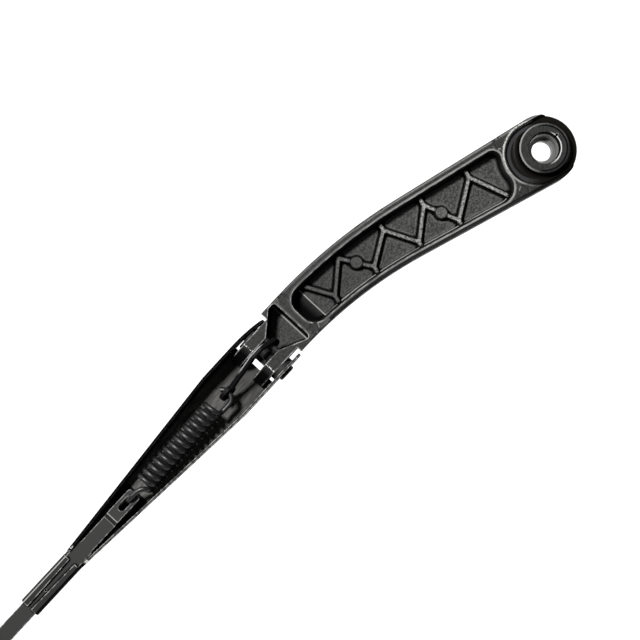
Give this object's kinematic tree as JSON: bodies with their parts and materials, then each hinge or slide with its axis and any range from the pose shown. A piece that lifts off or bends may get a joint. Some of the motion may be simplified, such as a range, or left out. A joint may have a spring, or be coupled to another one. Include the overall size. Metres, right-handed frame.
{
  "type": "wiper arm",
  "caption": "Car wiper arm: bent ribbed die-cast head with a tapered spindle bore, sprung hinge, tapered pressed channel and a flat rod ending in a blade hook.",
  "frame": {"origin": "on the spindle axis, in the plane the spindle nut clamps", "axes": "+Z out of the spindle bore's wide mouth, from the arm's outer face to its underside; +X along the channel and rod towards the blade"},
  "size_m": [0.5659, 0.0613, 0.0212],
  "materials": {
    "cast_black": "die-cast aluminium alloy under satin black powder paint",
    "sheet_black": "pressed steel sheet, satin black paint",
    "rod_black": "flat steel bar, satin black paint",
    "rivet_black": "steel rivet, painted over with the arm",
    "pin_black": "ground steel pin, painted over with the head",
    "bush_plastic": "moulded bearing plastic",
    "link_black": "stamped steel link, gloss black coating",
    "spring_black": "cold-wound spring wire, gloss black coating"
  },
  "bodies": {
    "head": {"arm_head": "cast_black", "hinge_bush_left": "bush_plastic", "hinge_bush_right": "bush_plastic", "anchor_pin": "pin_black"},
    "arm": {"retainer": "sheet_black", "arm_rod": "rod_black", "hinge_pin": "rivet_black"},
    "link": {"tension_link": "link_black"},
    "spring": {"tension_spring": "spring_black"}
  },
  "joints": [
    {"name": "arm_lift", "type": "hinge", "parent": "head", "child": "arm", "pos_m": [0.1596, -0.0313, 0.0053], "axis": [0, 1, 0], "range_deg": [0, 60], "stiffness_Nm_per_rad": 1.5, "springref_deg": -91.67},
    {"name": "link_swing", "type": "hinge", "parent": "head", "child": "link", "pos_m": [0.1549, -0.0313, 0.0092], "axis": [0, 1, 0], "range_deg": [0, 57]},
    {"name": "spring_swing", "type": "hinge", "parent": "arm", "child": "spring", "pos_m": [0.25535, -0.0313, 0.003], "axis": [0, 1, 0], "range_deg": [-4, 0]}
  ],
  "couplings": [
    {"joint": "link_swing", "follows": "arm_lift", "ratio": 0.94283},
    {"joint": "spring_swing", "follows": "arm_lift", "ratio": -0.05717}
  ]
}
